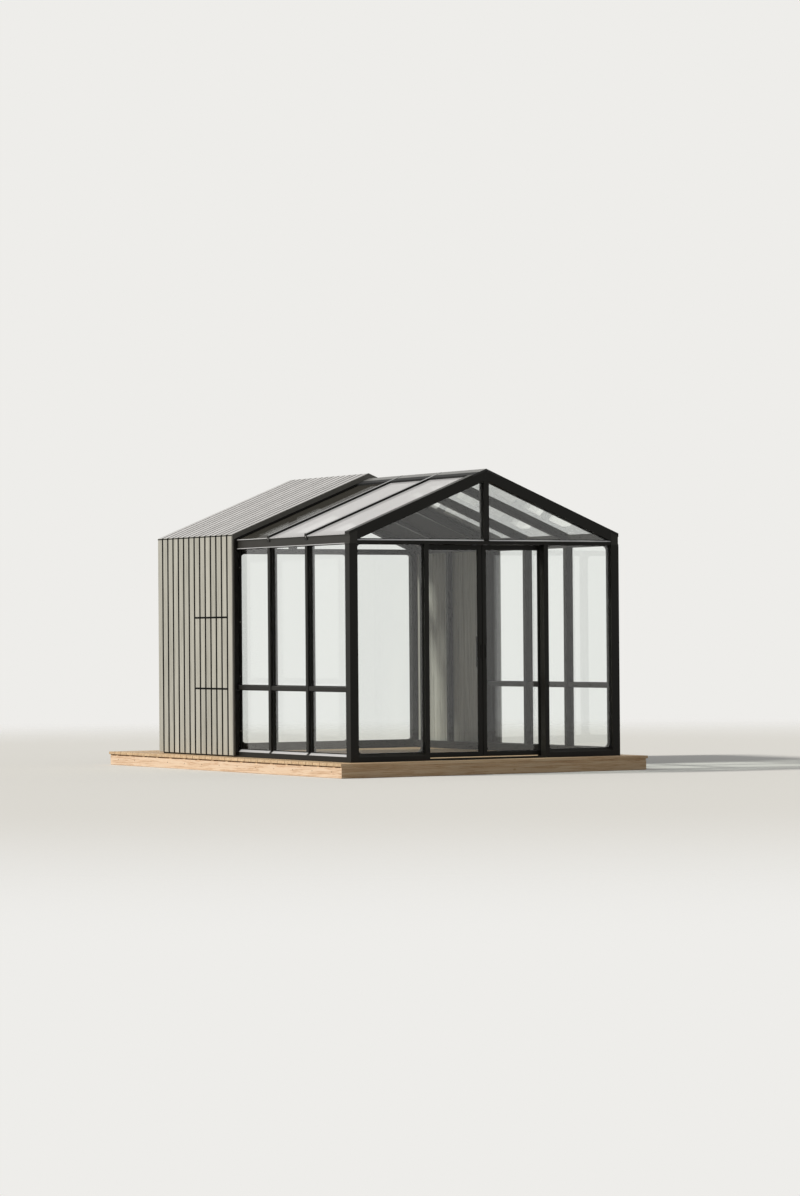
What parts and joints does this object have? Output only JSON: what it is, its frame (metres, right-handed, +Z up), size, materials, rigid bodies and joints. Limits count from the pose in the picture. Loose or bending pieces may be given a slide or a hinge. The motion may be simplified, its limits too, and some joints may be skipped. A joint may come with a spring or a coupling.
{
  "type": "garden glasshouse",
  "caption": "Gabled garden glasshouse: dark metal frame with glazed walls and roof, rear part wrapped in grey boards, on a timber deck, with a pair of sliding glass doors.",
  "frame": {"origin": "centre of the deck's footprint, on the ground", "axes": "+Z up, the ridge along Y, the glazed front gable faces -Y, +X to the right seen from the front"},
  "size_m": [3.5, 5.1, 3.0325],
  "materials": {
    "black_frame": "satin powder coat, near-black",
    "deck_timber": "fresh sawn softwood",
    "grey_boards": "warm grey painted boards",
    "panel_core": "black facade membrane over an insulated panel",
    "clear_glass": "clear toughened glass",
    "wheels": "galvanised"
  },
  "bodies": {
    "building": {"deck_boards": "deck_timber", "deck_fascia": "deck_timber", "deck_joists": "deck_timber", "base_sills_sides": "black_frame", "base_sills_gables": "black_frame", "door_threshold": "black_frame", "corner_posts": "black_frame", "side_mullions_left": "black_frame", "side_mullions_right": "black_frame", "gable_mullions": "black_frame", "mid_rails_left": "black_frame", "mid_rails_right": "black_frame", "eaves_beam_left": "black_frame", "eaves_beam_right": "black_frame", "tie_beams": "black_frame", "gable_rafters_front": "black_frame", "gable_rafters_rear": "black_frame", "king_posts": "black_frame", "ridge_beam": "black_frame", "ridge_cap": "black_frame", "roof_bars_left": "black_frame", "roof_bars_right": "black_frame", "roof_bar_clips": "black_frame", "gable_inner_beads": "black_frame", "wall_glass_left": "clear_glass", "wall_glass_right": "clear_glass", "gable_glass_front": "clear_glass", "gable_glass_rear": "clear_glass", "gable_peak_glass": "clear_glass", "roof_glass_left": "clear_glass", "roof_glass_right": "clear_glass", "clad_wall_left": "panel_core", "clad_wall_right": "panel_core", "clad_roof_left": "panel_core", "clad_roof_right": "panel_core", "wall_boards_left": "grey_boards", "wall_boards_right": "grey_boards", "roof_boards_left": "grey_boards", "roof_boards_right": "grey_boards", "clad_end_trim_front": "black_frame", "clad_end_trim_rear": "black_frame", "side_hatch": "grey_boards", "door_track": "black_frame", "track_stops": "black_frame", "door_floor_guides": "black_frame"},
    "left_door": {"door_leaf_left": "black_frame", "door_glass_left": "clear_glass", "door_hangers_left": "wheels", "door_handle_left": "black_frame"},
    "right_door": {"door_leaf_right": "black_frame", "door_glass_right": "clear_glass", "door_hangers_right": "wheels", "door_handle_right": "black_frame"}
  },
  "joints": [
    {"name": "left_door_slide", "type": "slide", "parent": "building", "child": "left_door", "axis": [-1, 0, 0], "range_m": [0, 0.6]},
    {"name": "right_door_slide", "type": "slide", "parent": "building", "child": "right_door", "axis": [1, 0, 0], "range_m": [0, 0.6]}
  ]
}
